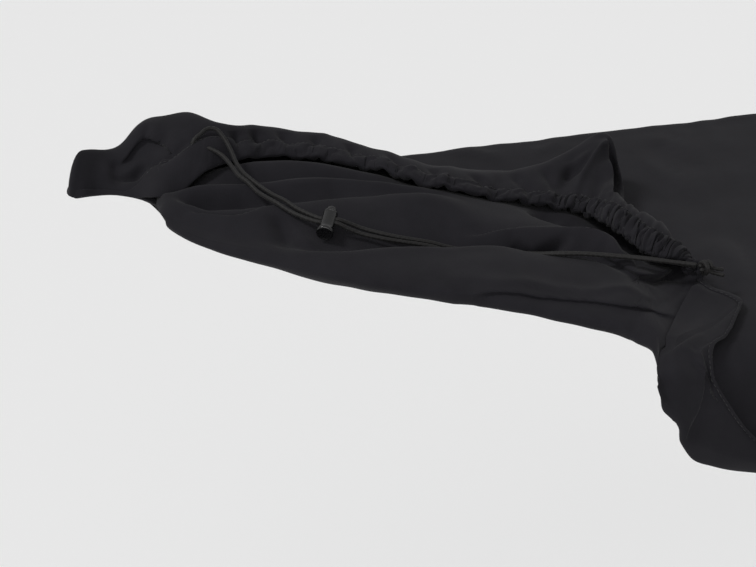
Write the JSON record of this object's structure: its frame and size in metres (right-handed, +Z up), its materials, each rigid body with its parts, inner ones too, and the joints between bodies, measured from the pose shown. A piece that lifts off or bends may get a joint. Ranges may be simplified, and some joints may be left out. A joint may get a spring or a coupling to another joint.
{
  "type": "keyboard dust cover",
  "caption": "Black stretch cloth cover for a long keyboard, one end folded back over its top, with gathered hem, drawstring, knot and push-button cord lock.",
  "frame": {"origin": "under the cover's top, half way between its front and back edges, where the keyboard carries it", "axes": "+X along the keyboard towards its treble end, +Y towards its back, +Z up"},
  "size_m": [0.9538, 0.4067, 0.1891],
  "materials": {
    "cloth": "matte black stretch knit with a faint sheen",
    "cord": "smooth black braid",
    "lock": "black satin plastic"
  },
  "bodies": {
    "cloth": {"cover": "cloth", "cord_upper": "cord", "cord_lower": "cord", "knot": "cord", "lock_barrel": "lock"},
    "button": {"lock_button": "lock"}
  },
  "joints": [
    {"name": "button_press", "type": "slide", "parent": "cloth", "child": "button", "axis": [-0.5502, -0.7302, -0.4051], "range_m": [0, 0.003], "stiffness_N_per_m": 400, "springref_m": -0.002}
  ]
}
